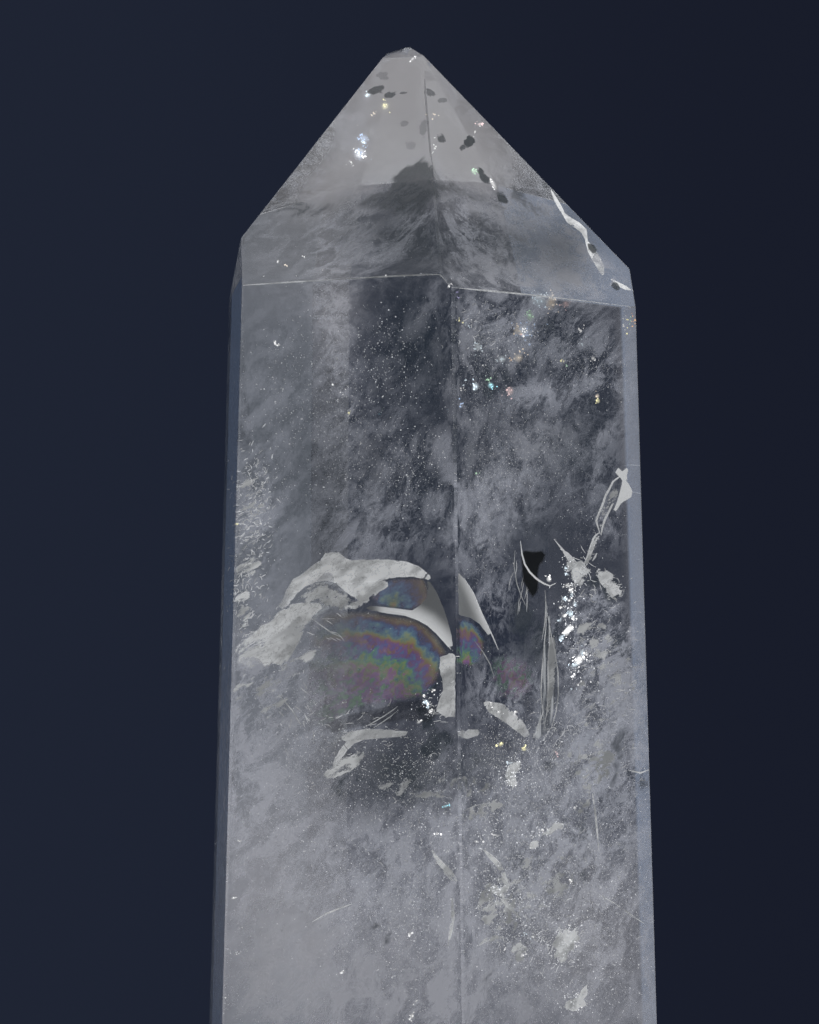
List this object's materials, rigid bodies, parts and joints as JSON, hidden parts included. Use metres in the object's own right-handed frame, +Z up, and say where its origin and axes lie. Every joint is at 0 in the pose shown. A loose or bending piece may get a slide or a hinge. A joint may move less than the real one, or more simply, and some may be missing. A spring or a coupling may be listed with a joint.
{
  "type": "clear quartz tower",
  "caption": "Polished hexagonal clear quartz tower with a faceted point, standing on its flat base.",
  "frame": {"origin": "middle of the flat base", "axes": "+Z up along the tower to its point, the front edge between its two front faces towards -Y"},
  "size_m": [0.0366, 0.043, 0.1039],
  "materials": {
    "quartz": "polished, clear at the top and milky towards the base"
  },
  "bodies": {
    "root": {"quartz_tower": "quartz"}
  },
  "joints": []
}
